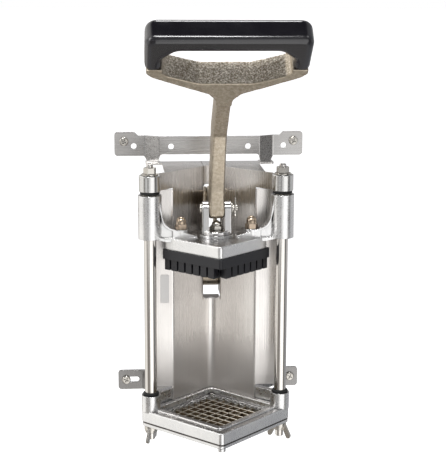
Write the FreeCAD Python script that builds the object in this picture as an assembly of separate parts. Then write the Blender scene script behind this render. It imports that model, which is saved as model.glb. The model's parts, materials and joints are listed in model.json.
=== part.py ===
"""Wall-mounted, lever-operated vegetable dicer (fry cutter).

A cast head slides down two round guide rods and pushes a toothed block into a
diamond-set grid of blades in the base.  A long cast lever is pinned in a clevis
on the head; its tail passes through a slot in the folded back panel and is held
by a short cast link that swings about a fixed pin behind the fold.

Construction axes used below (mm): X to the operator's right, Y towards the wall,
Z up; y = 0 is the plane of the two guide rods, z = 0 is a little below the base.
Every solid is moved on export so that the row origin is the centre of the four
wall screws, on the wall plane.
"""
import FreeCAD, Part
import math
import os

V = FreeCAD.Vector

# ----------------------------------------------------------------- dimensions
WALL_Y = 116.0            # wall plane behind the rod plane
SCREW_DX = 104.0          # wall screws, half spacing across
SCREW_Z_LO, SCREW_Z_HI = 30.0, 333.0
ORIGIN_Z = 0.5 * (SCREW_Z_LO + SCREW_Z_HI)

ROD_X = 76.2              # guide rods, half spacing (6 in between rods)
ROD_R = 7.15              # 9/16 in rod
STUD_R = 4.8              # lower threaded end of the rod
TOP_STUD_R = 4.0

BASE_HD = 90.2            # base casting, half diagonal
BASE_Z0, BASE_Z1 = 15.6, 30.0
BASE_OPEN = 48.6          # half side of the through opening
BOSS_R, BOSS_TOP = 11.2, 48.2
BEAD_HALF, BEAD_TOP = 55.8, 31.9   # rounded bead round the opening
WALL_TOP = 45.5           # raised rear walls of the base

FRAME_Z0 = 11.2           # blade frame plate, clamped under the base
GRID_CLEAR = 43.0         # half side of the clear cutting square
COMB_OUT = 48.3           # outside of the slotted comb walls
COMB_TOP = 24.6
PITCH = 88.9 / 8.0        # 7/16 in cut
BLADE_T = 0.9
BLADE_Z = (12.5, 22.8)    # both sets stand this high
LAP_LO, LAP_HI = 17.6, 17.7   # the sets are half lapped into each other at every crossing

STROKE = 180.0

HEAD_BOSS_R = 13.5
HEAD_Z0, HEAD_Z1 = 235.5, 286.0
SKIRT_HD = 60.3
SKIRT_Z0, SKIRT_Z1 = 223.0, 237.0
PUSH_HALF = 44.45         # 3 1/2 in square pusher
PUSH_Z0, PUSH_Z1 = 211.9, 222.95
TOOTH_Z = 199.0
TOOTH_HALF = 42.0
TOOTH_GAP = 2.6

PIN_A = (0.0, 269.7)      # lever pin in the clevis (y, z)
PIN_B = (96.0, 269.7)     # tail pin, in the link
PIN_C = (97.0, 169.0)     # fixed fulcrum pin behind the fold
PIN_R = 4.0
EAR_IN, EAR_OUT = 9.2, 16.9

PANEL_V = 76.0            # front faces of the folded panel: |x| + y = PANEL_V
PANEL_T = 1.9
WING_X = 48.5             # outer edge of each 45 degree wing
FLANGE_X = 80.0
PANEL_Z0, PANEL_Z1 = 30.1, 309.0
SLOT_HALF, SLOT_Z0, SLOT_Z1 = 10.25, 145.2, 286.5

SLEEVE_R, SLEEVE_Z0, SLEEVE_Z1 = 12.4, 290.0, 309.0

GRIP_C = (-140.0, 463.0)  # reference point on the lever's upper axis (y, z)
LEAN = (-0.7405, 0.6721)  # direction of the lever's upper part in (y, z)

R2 = math.sqrt(2.0)


# -------------------------------------------------------------------- helpers
def box(x0, x1, y0, y1, z0, z1):
    return Part.makeBox(x1 - x0, y1 - y0, z1 - z0, V(x0, y0, z0))


def cyl(r, z0, z1, x=0.0, y=0.0):
    return Part.makeCylinder(r, z1 - z0, V(x, y, z0), V(0, 0, 1))


def cylx(r, x0, x1, y, z):
    return Part.makeCylinder(r, x1 - x0, V(x0, y, z), V(1, 0, 0))


def cyly(r, y0, y1, x, z):
    return Part.makeCylinder(r, y1 - y0, V(x, y0, z), V(0, 1, 0))


def outline(pts, rad=0.0):
    """Closed outline in a plane: straight sides, each corner rounded by rad."""
    n = len(pts)
    if not isinstance(rad, (list, tuple)):
        rad = [rad] * n
    out = []
    for i in range(n):
        p0, p1, p2, r = pts[i - 1], pts[i], pts[(i + 1) % n], rad[i]
        ax, ay = p0[0] - p1[0], p0[1] - p1[1]
        bx, by = p2[0] - p1[0], p2[1] - p1[1]
        la, lb = math.hypot(ax, ay), math.hypot(bx, by)
        ax, ay, bx, by = ax / la, ay / la, bx / lb, by / lb
        ang = math.acos(max(-1.0, min(1.0, ax * bx + ay * by)))
        if r <= 0 or ang > math.pi - 1e-3:
            out.append((p1, None, p1))
            continue
        t = r / math.tan(ang / 2)
        cx, cy = ax + bx, ay + by
        lc = math.hypot(cx, cy)
        cx, cy = cx / lc, cy / lc
        h = r / math.sin(ang / 2)
        c = (p1[0] + cx * h, p1[1] + cy * h)
        out.append(((p1[0] + ax * t, p1[1] + ay * t),
                    (c[0] - cx * r, c[1] - cy * r),
                    (p1[0] + bx * t, p1[1] + by * t)))
    return out


def face_of(pts, rad, place):
    segs = outline(pts, rad)
    edges = []
    n = len(segs)
    for i in range(n):
        s, m, e = segs[i]
        if m is not None:
            edges.append(Part.Arc(place(*s), place(*m), place(*e)).toShape())
        nxt = segs[(i + 1) % n][0]
        if math.hypot(nxt[0] - e[0], nxt[1] - e[1]) > 1e-6:
            edges.append(Part.makeLine(place(*e), place(*nxt)))
    return Part.Face(Part.Wire(edges))


def prism_xy(pts, z0, z1, rad=0.0):
    return face_of(pts, rad, lambda u, v: V(u, v, z0)).extrude(V(0, 0, z1 - z0))


def prism_xz(pts, y0, y1, rad=0.0):
    return face_of(pts, rad, lambda u, v: V(u, y0, v)).extrude(V(0, y1 - y0, 0))


def prism_yz(pts, x0, x1, rad=0.0):
    return face_of(pts, rad, lambda u, v: V(x0, u, v)).extrude(V(x1 - x0, 0, 0))


def diamond(half, z0, z1, rad=0.0):
    """Square of half side `half`, turned 45 degrees about Z.
    Corner order for a list of radii: right, rear, left, front."""
    d = half * R2
    return prism_xy([(d, 0), (0, d), (-d, 0), (0, -d)], z0, z1, rad)


def turn45(s):
    s.rotate(V(0, 0, 0), V(0, 0, 1), 45)
    return s


def mirror_x(s):
    return s.mirror(V(0, 0, 0), V(1, 0, 0))


def fuse(*ss):
    s = ss[0]
    if len(ss) > 1:
        s = s.fuse(list(ss[1:]))
    return s.removeSplitter()


def hexagon(af, z0, z1, x=0.0, y=0.0, turn=0.0):
    r = af / math.sqrt(3.0)
    pts = [(x + r * math.cos(math.radians(60 * k + turn)),
            y + r * math.sin(math.radians(60 * k + turn))) for k in range(6)]
    return prism_xy(pts, z0, z1)


def soften(s, r, pick):
    """Round the edges chosen by pick(edge); leave the solid as it is if the
    rounding can't be made."""
    es = [e for e in s.Edges if pick(e)]
    if not es:
        return s
    try:
        t = s.makeFillet(r, es)
        if t.isValid() and t.Volume > 0.5 * s.Volume:
            return t
    except Exception:
        pass
    return s


def bevel(s, r, pick):
    es = [e for e in s.Edges if pick(e)]
    if not es:
        return s
    try:
        t = s.makeChamfer(r, es)
        if t.isValid() and t.Volume > 0.5 * s.Volume:
            return t
    except Exception:
        pass
    return s


def flat_at(z, tol=1e-3):
    return lambda e: abs(e.BoundBox.ZMin - z) < tol and abs(e.BoundBox.ZMax - z) < tol


PARTS = {}


def put(name, shape):
    PARTS[name] = shape


# ------------------------------------------------------------- base casting
slab = diamond(BASE_HD / R2, BASE_Z0, BASE_Z1, [8, 6, 8, 5])
slab = soften(slab, 1.6, flat_at(BASE_Z1))
# the bottom edge is broken all round, so a dark seam shows against the blade frame
slab = bevel(slab, 1.0, flat_at(BASE_Z0))
bead = diamond(BEAD_HALF, BASE_Z1 - 1.0, BEAD_TOP, 9).cut(diamond(BASE_OPEN, BASE_Z1 - 2.0, BEAD_TOP + 1, 6))
bead = soften(bead, 1.4, flat_at(BEAD_TOP))
# the bead stops short of the folded panel
bead = bead.common(prism_xy([(0, PANEL_V - 0.6), (-100, PANEL_V - 100.6), (-100, -120), (100, -120), (100, PANEL_V - 100.6)],
                            BASE_Z1 - 3, BEAD_TOP + 1, [12.0, 0, 0, 0, 0]))
opening = fuse(diamond(BASE_OPEN, BASE_Z0 - 1, 27.0, 3), diamond(BASE_OPEN, 26.5, BEAD_TOP + 1, 6))
# rear walls: band along the two rear sides, behind the panel
w0, w1 = PANEL_V + PANEL_T * R2 + 0.25, BASE_HD - 0.6
rear = prism_xy([(w1 - 9, 9), (0, w1), (-w1 + 9, 9), (-w0 + 9, 9), (0, w0), (w0 - 9, 9)],
                BASE_Z1 - 1, WALL_TOP, [0, 6, 0, 0, 0, 0])
bosses = [cyl(BOSS_R, BASE_Z1 - 1.6, BOSS_TOP, sx * ROD_X, 0) for sx in (-1, 1)]
# short gussets that run each boss into the rear wall and the front side
gus = []
for sx in (-1, 1):
    gus.append(prism_xz([(sx * 72.0, BASE_Z1 - 1), (sx * 58.0, BASE_Z1 - 1), (sx * 61.0, BASE_Z1 + 1.2),
                         (sx * 72.0, BASE_Z1 + 9.0)], 13.0, 18.5))
base = fuse(slab, bead, rear, *bosses)
# under-rim relief so that the casting reads as a shell
under = diamond(BASE_HD / R2 - 6.0, BASE_Z0 - 1, BASE_Z0 + 5.0, 6).cut(
    diamond(54.8, BASE_Z0 - 2, BASE_Z0 + 6, 5))
for sx in (-1, 1):
    under = under.cut(cyl(BOSS_R + 2.5, BASE_Z0 - 2, BASE_Z0 + 6, sx * ROD_X, 0))
base = base.cut([opening, under])
for sx in (-1, 1):
    base = base.cut([cyl(ROD_R + 0.02, 24.0, BOSS_TOP + 1, sx * ROD_X, 0),
                     cyl(STUD_R + 0.3, BASE_Z0 - 1, 25.0, sx * ROD_X, 0)])
# two threaded holes in each rear wall for the wall bracket bolts (drawn at bolt size)
for sx in (-1, 1):
    for u in (-1, 1):
        cx, cy = sx * (45.1 + u * 6.0), 45.1 - u * 6.0
        base = base.cut(Part.makeCylinder(2.5, 8.0, V(cx + sx * 1.0, cy + 1.0, 37.5),
                                          V(-sx, -1, 0)))
put("base_casting", base.removeSplitter())

# -------------------------------------------------------------- blade frame
plate = diamond(BASE_HD / R2 - 0.4, FRAME_Z0, BASE_Z0 - 0.05, [8, 6, 8, 5])
plate = bevel(plate, 0.7, flat_at(BASE_Z0 - 0.05))
comb = diamond(COMB_OUT, FRAME_Z0, COMB_TOP, 2.5)
frame = fuse(plate, comb).cut(diamond(GRID_CLEAR, FRAME_Z0 - 1, COMB_TOP + 1, 1.0))
cuts = []
for k in range(-3, 4):
    u = k * PITCH
    g = BLADE_T / 2 + 0.12
    # every strip drops into a slot in two facing comb walls
    cuts.append(turn45(box(-COMB_OUT + 0.9, COMB_OUT - 0.9, u - g, u + g, BLADE_Z[0] - 0.03, COMB_TOP + 1)))
    cuts.append(turn45(box(u - g, u + g, -COMB_OUT + 0.9, COMB_OUT - 0.9, BLADE_Z[0] - 0.03, COMB_TOP + 1)))
# shallow finger blocks: relief between the slots on top of each comb wall
for k in range(-4, 4):
    u = (k + 0.5) * PITCH
    for a, b in ((GRID_CLEAR - 0.5, GRID_CLEAR + 2.2), (-GRID_CLEAR - 2.2, -GRID_CLEAR + 0.5)):
        cuts.append(turn45(box(a, b, u - 2.4, u + 2.4, 22.9, COMB_TOP + 1)))
        cuts.append(turn45(box(u - 2.4, u + 2.4, a, b, 22.9, COMB_TOP + 1)))
frame = frame.cut(cuts)
for sx in (-1, 1):
    frame = frame.cut(cyl(STUD_R + 0.3, FRAME_Z0 - 1, BASE_Z0 + 1, sx * ROD_X, 0))
# lifting tab under the front corner and screw holes in the four corners
tab = prism_xy([(-4.4, -90), (4.4, -90), (4.4, -76.0), (-4.4, -76.0)], FRAME_Z0 - 3.3, FRAME_Z0 + 0.5, [0, 0, 2.5, 2.5])
tab = tab.common(diamond(BASE_HD / R2 + 0.3, FRAME_Z0 - 4, FRAME_Z0 + 1, [8, 6, 8, 5]))
frame = fuse(frame, bevel(tab, 0.6, flat_at(FRAME_Z0 - 3.3)))
CORNERS = [(0, -64.0), (64.0, 0), (0, 64.0), (-64.0, 0)]
for cx, cy in CORNERS:
    frame = frame.cut(cyl(1.5, FRAME_Z0 + 1.0, COMB_TOP + 1, cx, cy))
put("blade_frame", frame.removeSplitter())

for k in range(-3, 4):
    u = k * PITCH
    h = COMB_OUT - 1.0
    for nm, along_x in (("upper", True), ("lower", False)):
        z0, z1 = BLADE_Z
        # strip with a ground top edge
        sec = [(-BLADE_T / 2, z0), (BLADE_T / 2, z0), (BLADE_T / 2, z1 - 1.1), (0.06, z1), (-0.06, z1),
               (-BLADE_T / 2, z1 - 1.1)]
        if along_x:
            b = face_of([(p[0] + u, p[1]) for p in sec], 0, lambda a, c: V(-h, a, c)).extrude(V(2 * h, 0, 0))
        else:
            b = face_of([(p[0] + u, p[1]) for p in sec], 0, lambda a, c: V(a, -h, c)).extrude(V(0, 2 * h, 0))
        # half-lap slots: from below in one set, from above in the other
        laps = []
        for j in range(-3, 4):
            c, w = j * PITCH, BLADE_T / 2 + 0.08
            if along_x:
                laps.append(box(c - w, c + w, u - 1.0, u + 1.0, z0 - 1.0, LAP_HI))
            else:
                laps.append(box(u - 1.0, u + 1.0, c - w, c + w, LAP_LO, z1 + 1.0))
        put("blade_%s_%d" % (nm, k + 4), turn45(b.cut(laps)))

scr = []
for cx, cy in CORNERS:
    s = fuse(cyl(1.45, FRAME_Z0 + 2.0, COMB_TOP + 0.2, cx, cy), cyl(2.3, COMB_TOP + 0.05, COMB_TOP + 1.3, cx, cy))
    s = bevel(s, 0.35, flat_at(COMB_TOP + 1.3))
    s = s.cut(box(cx - 1.6, cx + 1.6, cy - 0.3, cy + 0.3, COMB_TOP + 0.8, COMB_TOP + 2))
    scr.append(s)
put("frame_screws", Part.makeCompound(scr))

# --------------------------------------------------------------- guide rods
for nm, sx in (("left", -1), ("right", 1)):
    x = sx * ROD_X
    r = fuse(cyl(ROD_R, 24.05, SLEEVE_Z1 - 0.2, x), cyl(STUD_R, -6.5, 24.5, x), cyl(TOP_STUD_R, SLEEVE_Z1 - 1, 321.0, x))
    r = bevel(r, 0.8, lambda e: flat_at(-6.5)(e) or flat_at(321.0)(e))
    put("guide_rod_" + nm, r)

    # top sleeve: round collar with a lug lying behind the panel tab
    s = fuse(cyl(SLEEVE_R, SLEEVE_Z0, SLEEVE_Z1, x),
             prism_xy([(sx * 52.0, PANEL_V + 3.0 - 52.0 + 0.0), (sx * 69.0, PANEL_V + 3.0 - 69.0),
                       (sx * 76.0, PANEL_V + 8.0 - 76.0), (sx * 55.0, PANEL_V + 8.0 - 52.0)],
                      SLEEVE_Z0 + 0.8, SLEEVE_Z1 - 2.4, 0.6))
    s = s.cut(cyl(ROD_R + 0.02, SLEEVE_Z0 - 1, SLEEVE_Z1 + 1, x))
    s = bevel(s, 0.7, lambda e: (flat_at(SLEEVE_Z1)(e) or flat_at(SLEEVE_Z0)(e)) and e.BoundBox.XLength > 22)
    put("top_sleeve_" + nm, s)

    # rubber rings: on the base boss and under the sleeve
    b = cyl(9.4, BOSS_TOP + 0.02, BOSS_TOP + 3.2, x).cut(cyl(ROD_R + 0.06, BOSS_TOP - 1, BOSS_TOP + 6, x))
    b = soften(b, 1.1, lambda e: (flat_at(BOSS_TOP + 3.2)(e) or flat_at(BOSS_TOP + 0.02)(e)) and e.BoundBox.XLength > 18)
    put("base_bumper_" + nm, b)
    b = cyl(11.2, 286.9, 289.95, x).cut(cyl(ROD_R + 0.06, 286, 291, x))
    b = soften(b, 1.0, lambda e: (flat_at(286.9)(e) or flat_at(289.95)(e)) and e.BoundBox.XLength > 18)
    put("top_bumper_" + nm, b)

    # wing nut, wings hanging down
    w = fuse(cyl(8.2, 5.5, FRAME_Z0 - 0.1, 0), Part.makeCone(6.8, 8.2, 3.6, V(0, 0, 1.9)))
    wing = prism_xz([(4.0, 9.0), (7.8, 9.6), (15.2, -4.6), (14.0, -8.6), (10.2, -8.2), (5.6, 2.0)], -1.5, 1.5,
                    [0, 1.5, 3.0, 2.0, 2.0, 1.0])
    wing2 = wing.copy()
    wing2.rotate(V(0, 0, 0), V(0, 0, 1), 180)
    w = fuse(w, wing, wing2).cut(cyl(STUD_R + 0.06, -10, 12, 0))
    w.rotate(V(0, 0, 0), V(0, 0, 1), {-1: 68.0, 1: -34.0}[sx])
    w.translate(V(x, 0, 0))
    put("wing_nut_" + nm, w)

put("rod_washers", Part.makeCompound(
    [cyl(9.4, SLEEVE_Z1 + 0.02, SLEEVE_Z1 + 1.6, sx * ROD_X).cut(cyl(TOP_STUD_R + 0.25, 300, 320, sx * ROD_X))
     for sx in (-1, 1)]))
nuts = []
for sx, turn in ((-1, 12.0), (1, 40.0)):
    x = sx * ROD_X
    n = hexagon(13.0, SLEEVE_Z1 + 1.62, SLEEVE_Z1 + 8.6, x, 0, turn)
    n = n.common(Part.makeCone(13.2, 6.7, 6.6, V(x, 0, SLEEVE_Z1 + 2.4), V(0, 0, 1)).fuse(
        cyl(12, SLEEVE_Z1 + 1.0, SLEEVE_Z1 + 2.5, x)))
    n = n.cut(cyl(TOP_STUD_R + 0.02, 300, 330, x))
    nuts.append(n)
put("rod_nuts", Part.makeCompound(nuts))

# ---------------------------------------------------------------- back panel
t2 = PANEL_T * R2
fy = PANEL_V - WING_X                       # flange front face
ax = WING_X + (t2 - PANEL_T)                # where flange back meets wing back
prof = [(-FLANGE_X, fy), (-WING_X, fy), (0, PANEL_V), (WING_X, fy), (FLANGE_X, fy),
        (FLANGE_X, fy + PANEL_T), (ax, fy + PANEL_T), (0, PANEL_V + t2), (-ax, fy + PANEL_T),
        (-FLANGE_X, fy + PANEL_T)]
FOLD_R = 8.0
main = prism_xy(prof, 48.5, 287.5, [0, 4.4, FOLD_R, 4.4, 0, 0, 2.5, FOLD_R + PANEL_T, 2.5, 0])
vprof = [(-WING_X, fy), (0, PANEL_V), (WING_X, fy), (WING_X + t2 / 2, fy + t2 / 2), (0, PANEL_V + t2),
         (-WING_X - t2 / 2, fy + t2 / 2)]
low = prism_xy(vprof, PANEL_Z0, 49.0, [0, FOLD_R, 0, 0, FOLD_R + PANEL_T, 0])
TAB_X = 65.6
tprof = [(-TAB_X, PANEL_V - TAB_X), (0, PANEL_V), (TAB_X, PANEL_V - TAB_X), (TAB_X + t2 / 2, PANEL_V - TAB_X + t2 / 2),
         (0, PANEL_V + t2), (-TAB_X - t2 / 2, PANEL_V - TAB_X + t2 / 2)]
high = prism_xy(tprof, 287.0, PANEL_Z1, [0, FOLD_R, 0, 0, FOLD_R + PANEL_T, 0])
high = high.cut([box(WING_X + 0.2, 80, 0, 40, 286, 289.2), box(-80, -WING_X - 0.2, 0, 40, 286, 289.2)])
panel = fuse(main, low, high)
panel = panel.cut(prism_xz([(-SLOT_HALF, SLOT_Z0), (SLOT_HALF, SLOT_Z0), (SLOT_HALF, SLOT_Z1), (-SLOT_HALF, SLOT_Z1)],
                           60, 85, [5, 5, 3, 3]))
# lip folded back under the slot
panel = panel.fuse(box(-SLOT_HALF - 0.3, SLOT_HALF + 0.3, PANEL_V - 12.0, PANEL_V + t2 + 13.0, SLOT_Z0 - 2.0, SLOT_Z0).cut(
    prism_xy([(-20, PANEL_V + 0.6 - 20), (0, PANEL_V + 0.6), (20, PANEL_V + 0.6 - 20)], SLOT_Z0 - 5, SLOT_Z0 + 5,
             [0, FOLD_R, 0])))
# rounded free corners of the side flanges
for sx in (-1, 1):
    for z, dz in ((48.5, 1), (287.5, -1)):
        c = box(FLANGE_X - 7, FLANGE_X + 1, 20, 35, z - 1, z + 7) if dz > 0 else box(FLANGE_X - 7, FLANGE_X + 1, 20, 35, z - 7, z + 1)
        c = c.cut(cyly(7.0, 19, 36, FLANGE_X - 7, z + dz * 7))
        if sx < 0:
            c = mirror_x(c)
        panel = panel.cut(c)
put("back_panel", panel.removeSplitter())

# top plate closing the triangle between the fold and the wall
tp = prism_xy([(0, PANEL_V + t2 + 0.2), (58.5, PANEL_V + t2 + 0.2 - 58.5), (58.5, 92.0), (78.0, 92.0), (78.0, 115.8),
               (60.5, 115.8), (60.5, 107.5), (-60.5, 107.5), (-60.5, 115.8), (-78.0, 115.8), (-78.0, 92.0),
               (-58.5, 92.0), (-58.5, PANEL_V + t2 + 0.2 - 58.5)],
              PANEL_Z1 - 2.0, PANEL_Z1, [6, 0, 3, 4, 1, 1, 2, 2, 1, 1, 4, 3, 0])
put("top_plate", tp)

# small blank identification plate on the left flange
put("label_plate", soften(box(-63.6, -53.4, fy - 0.45, fy - 0.02, 151.6, 185.8), 1.2,
                          lambda e: e.BoundBox.YLength > 0.3 and e.BoundBox.XLength < 0.01 and e.BoundBox.ZLength < 0.01))

# ---------------------------------------------------------------- wall strap
ST = 3.0
OFF = 10.0
plan = [(-115.5, WALL_Y), (-115.5, WALL_Y - ST), (-78.6, WALL_Y - ST), (-61.4, WALL_Y - ST - OFF), (61.4, WALL_Y - ST - OFF),
        (78.6, WALL_Y - ST), (115.5, WALL_Y - ST), (115.5, WALL_Y), (77.5, WALL_Y), (60.2, WALL_Y - OFF), (-60.2, WALL_Y - OFF),
        (-77.5, WALL_Y)]
strap = prism_xy(plan, PANEL_Z1 + 0.1, 346, [0, 0, 5, 2, 2, 5, 0, 0, 2, 5, 5, 2])
elev = [(-115.5, 315.0), (-79.5, 315.0), (-76.0, 309.0), (-62.5, 309.0), (-60.0, 318.0), (60.0, 318.0), (62.5, 309.0),
        (76.0, 309.0), (79.5, 315.0), (115.5, 315.0), (115.5, 344.4), (91.5, 344.4), (86.5, 340.0), (-86.5, 340.0),
        (-91.5, 344.4), (-115.5, 344.4)]
strap = strap.common(prism_xz(elev, 95, 120, [4, 2, 0.5, 0.5, 4, 4, 0.5, 0.5, 2, 4, 4, 1.5, 1.5, 1.5, 1.5, 4]))
EAR_HOLE_X, EAR_HOLE_Z = 92.0, 327.0
MID_HOLE_X, MID_HOLE_Z = 47.0, 327.5
HOLE_R = 3.5
for sx in (-1, 1):
    strap = strap.cut([cyly(HOLE_R, 95, 120, sx * EAR_HOLE_X, EAR_HOLE_Z), cyly(HOLE_R, 95, 120, sx * MID_HOLE_X, MID_HOLE_Z),
                       cyly(2.6, 95, 120, sx * SCREW_DX, SCREW_Z_HI)])
put("wall_strap", strap.removeSplitter())

# ------------------------------------------------------------- lower brackets
f0 = BASE_HD + 0.1 * R2                     # rear outer face of the base, plus a hair
LB_Z0, LB_Z1 = 17.3, 42.3
for nm, sx in (("left", -1), ("right", 1)):
    # plan of the right-hand bracket: wall ear, diagonal web, foot on the base
    e = 3.0 / R2
    pts = [(114.0, WALL_Y), (114.0, WALL_Y - 3.0), (83.0, WALL_Y - 3.0)]
    # web runs at 45 degrees towards the rear face of the base
    wx = 83.0 - (WALL_Y - 3.0 - (f0 - 83.0 + 0.0)) / 2.0
    foot_in = (wx, f0 - wx)
    pts += [foot_in, (foot_in[0] - 0.01, foot_in[1] + 0.01)]
    outer = [(114.0, WALL_Y), (114.0, WALL_Y - 3.0), (83.0, WALL_Y - 3.0),
             (wx + e, f0 - wx + e), (wx + e + 20.0, f0 - wx + e - 20.0), (wx + 20.0, f0 - wx - 20.0),
             (wx - e, f0 - wx + e), (81.76, WALL_Y)]
    br = prism_xy(outer, LB_Z0, LB_Z1, [0, 0, 2.0, 2.0, 0, 0, 3.0, 4.0])
    br = br.cut(prism_xz([(98.5 - 11, 30 - 3.5), (98.5 + 11, 30 - 3.5), (98.5 + 11, 30 + 3.5), (98.5 - 11, 30 + 3.5)], 100, 120, 3.45))
    # rounded free corners of the ear
    for z, dz in ((LB_Z0, 1), (LB_Z1, -1)):
        c = box(110, 115, 110, 118, min(z, z + dz * 4) - (0 if dz < 0 else 1), max(z, z + dz * 4) + (1 if dz < 0 else 0))
        c = c.cut(cyly(4.0, 109, 119, 110, z + dz * 4))
        br = br.cut(c)
    for u in (-1, 1):
        cx, cy = 45.1 + u * 6.0, 45.1 - u * 6.0
        br = br.cut(Part.makeCylinder(2.7, 14.0, V(cx - 3, cy - 3, 37.5), V(1, 1, 0)))
    if sx < 0:
        br = mirror_x(br)
    put("lower_bracket_" + nm, br.removeSplitter())
bolts = []
for sx in (-1, 1):
    for u in (-1, 1):
        cx, cy = 45.1 + u * 6.0, 45.1 - u * 6.0
        d = V(1, 1, 0)
        d.normalize()
        p0 = V(cx, cy, 37.5) - d * 4.5
        top = V(cx, cy, 37.5) + d * 3.25
        b = fuse(Part.makeCylinder(2.45, (top - p0).Length + 0.1, p0, d), Part.makeCylinder(4.4, 3.4, top, d))
        hexs = hexagon(4.0, 0, 3.0)
        hexs.Placement = FreeCAD.Placement(top + d * 1.6, FreeCAD.Rotation(V(0, 0, 1), d))
        b = b.cut(hexs)
        if sx < 0:
            b = mirror_x(b)
        bolts.append(b)
put("bracket_bolts", Part.makeCompound(bolts))

# ---------------------------------------------------------------- wall screws
scr = []
for sx in (-1, 1):
    for z in (SCREW_Z_LO, SCREW_Z_HI):
        x = sx * SCREW_DX
        y1 = WALL_Y - 3.05
        # head, plain shank through the plate, thinner threaded length in the wall
        s = fuse(cyly(5.5, y1 - 2.9, y1, x, z), cyly(2.4, y1 - 1, WALL_Y + 0.3, x, z), cyly(2.2, WALL_Y - 1, WALL_Y + 22.0, x, z))
        s = soften(s, 1.7, lambda e, yy=y1 - 2.9: abs(e.BoundBox.YMin - yy) < 1e-3 and abs(e.BoundBox.YMax - yy) < 1e-3)
        s = bevel(s, 1.2, lambda e: abs(e.BoundBox.YMin - WALL_Y - 22.0) < 1e-3)
        for a in (25.0, 115.0):
            c = box(-3.0, 3.0, y1 - 4.0, y1 - 1.3, -0.6, 0.6)
            c.rotate(V(0, 0, 0), V(0, 1, 0), a)
            c.translate(V(x, 0, z))
            s = s.cut(c)
        scr.append(s)
put("wall_screws", Part.makeCompound(scr))

# ------------------------------------------------------------ fulcrum bracket
q0 = PANEL_V + t2 + 0.15
fb = []
for sx in (-1, 1):
    pts = [(10.4, q0 - 10.4), (34.0, q0 - 34.0), (34.0 + 3 / R2, q0 - 34.0 + 3 / R2), (13.4, q0 + 3 * R2 - 13.4),
           (13.4, 109.0), (10.4, 109.0)]
    c = prism_xy(pts, 150.0, 188.0, [0, 0, 0, 2.0, 0, 0])
    keep = fuse(box(0, 60, 30, 96, 150, 188), cylx(13.0, 0, 60, PIN_C[0], PIN_C[1]))
    c = c.common(keep)
    c = c.cut(cylx(PIN_R + 0.02, 0, 60, PIN_C[0], PIN_C[1]))
    if sx < 0:
        c = mirror_x(c)
    fb.append(c)
put("fulcrum_bracket", Part.makeCompound(fb))
fp = fuse(cylx(PIN_R, -16.2, 15.0, *PIN_C), cylx(6.2, 13.5, 15.3, *PIN_C), cylx(6.2, -15.3, -13.5, *PIN_C))
put("fulcrum_pin", fp)

# --------------------------------------------------------------- head casting
CLEVIS_Z = SKIRT_Z1 + 3.6   # seat of the clevis flange on a low round boss
skirt = diamond(SKIRT_HD / R2, SKIRT_Z0, SKIRT_Z1, 4.5)
skirt = soften(skirt, 1.5, flat_at(SKIRT_Z1))
parts = [skirt, cyl(19.2, SKIRT_Z1 - 1, CLEVIS_Z - 0.05)]
for sx in (-1, 1):
    x = sx * ROD_X
    parts.append(cyl(HEAD_BOSS_R, HEAD_Z0, HEAD_Z1, x))
    top = [(sx * 22.0, 230.0), (sx * 22.0, 238.5), (sx * 46.0, 246.0), (sx * 60.5, 251.0), (sx * 66.0, HEAD_Z1 - 1.0),
           (sx * 72.0, HEAD_Z1 - 1.0), (sx * 72.0, HEAD_Z0 + 0.5), (sx * 58.0, 232.6)]
    web = prism_xz(top, -8.0, 8.0, [0, 4, 0, 16, 0, 0, 0, 4])
    pocket_pts = [(sx * 50.5, 236.5), (sx * 50.5, 245.3), (sx * 60.8, 249.0), (sx * 67.5, 280.0), (sx * 72.0, 280.0), (sx * 72.0, 240.0),
                  (sx * 61.0, 236.5)]
    pk = [prism_xz(pocket_pts, 4.2, 9.0, [1, 1, 13, 0, 0, 0, 1]), prism_xz(pocket_pts, -9.0, -4.2, [1, 1, 13, 0, 0, 0, 1])]
    web = web.cut(pk)
    parts.append(web)
    parts.append(cyl(8.2, SKIRT_Z1 - 1, 246.0, sx * 40.6, 0))
head = fuse(*parts)
for sx in (-1, 1):
    x = sx * ROD_X
    head = head.cut([cyl(9.52, HEAD_Z0 - 1, HEAD_Z1 + 1, x), cyl(3.1, SKIRT_Z0 - 1, 250, sx * 40.6, 0),
                     cyl(8.25, 246.0, 262.0, sx * 40.6, 0)])    # spot face under the cap nut
head = head.cut([cyl(4.05, SKIRT_Z0 - 1, 248)])
# shallow relief on the underside of the skirt
head = head.cut(cyl(9.0, SKIRT_Z0 - 1, SKIRT_Z0 + 3.4))
put("head_casting", head.removeSplitter())
for nm, sx in (("left", -1), ("right", 1)):
    x = sx * ROD_X
    b = cyl(9.5, HEAD_Z0 - 0.5, HEAD_Z1 + 0.5, x).cut(cyl(ROD_R + 0.05, 200, 300, x))
    b = bevel(b, 0.6, lambda e: e.BoundBox.XLength > 18 and (flat_at(HEAD_Z0 - 0.5)(e) or flat_at(HEAD_Z1 + 0.5)(e)))
    put("bushing_" + nm, b)

# --------------------------------------------------------------- pusher block
pb = turn45(soften(box(-PUSH_HALF, PUSH_HALF, -PUSH_HALF, PUSH_HALF, PUSH_Z0, PUSH_Z1), 3.0,
                   lambda e: e.BoundBox.ZLength > 5))
teeth = turn45(box(-TOOTH_HALF, TOOTH_HALF, -TOOTH_HALF, TOOTH_HALF, TOOTH_Z, PUSH_Z0 + 0.5))
pb = fuse(pb, teeth)
cuts = []
for k in range(-3, 4):
    u = k * PITCH
    cuts.append(turn45(box(u - TOOTH_GAP / 2, u + TOOTH_GAP / 2, -60, 60, TOOTH_Z - 1, PUSH_Z0 - 0.6)))
    cuts.append(turn45(box(-60, 60, u - TOOTH_GAP / 2, u + TOOTH_GAP / 2, TOOTH_Z - 1, PUSH_Z0 - 0.6)))
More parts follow.
